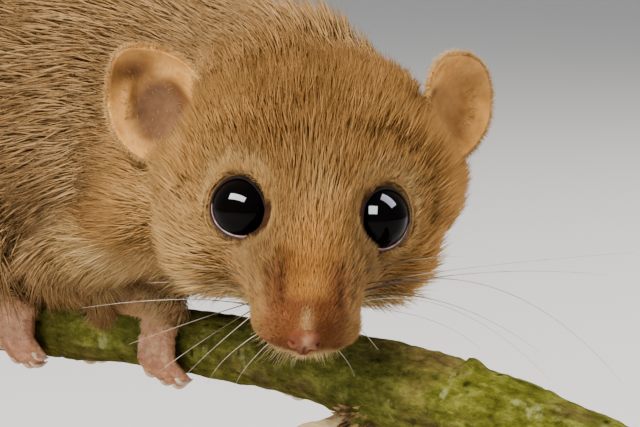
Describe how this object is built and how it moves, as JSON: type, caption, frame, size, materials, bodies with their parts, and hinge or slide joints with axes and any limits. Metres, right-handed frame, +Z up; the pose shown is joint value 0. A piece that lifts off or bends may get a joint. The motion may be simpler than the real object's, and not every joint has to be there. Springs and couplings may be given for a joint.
{
  "type": "hazel dormouse model",
  "caption": "Life-size hazel dormouse crouched along a cut mossy branch, head turned to its right, bushy tail trailing behind, on a flat base with short rods.",
  "frame": {"origin": "centre of the base's underside, on the floor", "axes": "+Z up, +X along the branch towards the head end, the animal's right side towards -Y"},
  "size_m": [0.1475, 0.056, 0.0627],
  "materials": {
    "fur": "short soft coat, golden brown",
    "tail_fur": "bushy soft hair, golden brown",
    "eye": "wet gloss, black",
    "skin": "soft bare skin, pinkish buff",
    "bark": "rough bark with a green film of algae",
    "base_wood": "satin",
    "rod_metal": "satin"
  },
  "bodies": {
    "root": {"head": "fur", "lower_jaw": "fur", "neck": "fur", "torso": "fur", "foreleg_right": "fur", "foreleg_left": "fur", "hind_leg_right": "fur", "hind_leg_left": "fur", "tail_base": "tail_fur", "tail_middle": "tail_fur", "tail_tip": "tail_fur", "ear_right": "skin", "ear_left": "skin", "eye_right": "eye", "eye_left": "eye", "hand_right": "skin", "hand_left": "skin", "hind_foot_right": "skin", "hind_foot_left": "skin", "perch_branch": "bark", "stand_base": "base_wood", "stand_rod_front": "rod_metal", "stand_rod_rear": "rod_metal"}
  },
  "joints": []
}
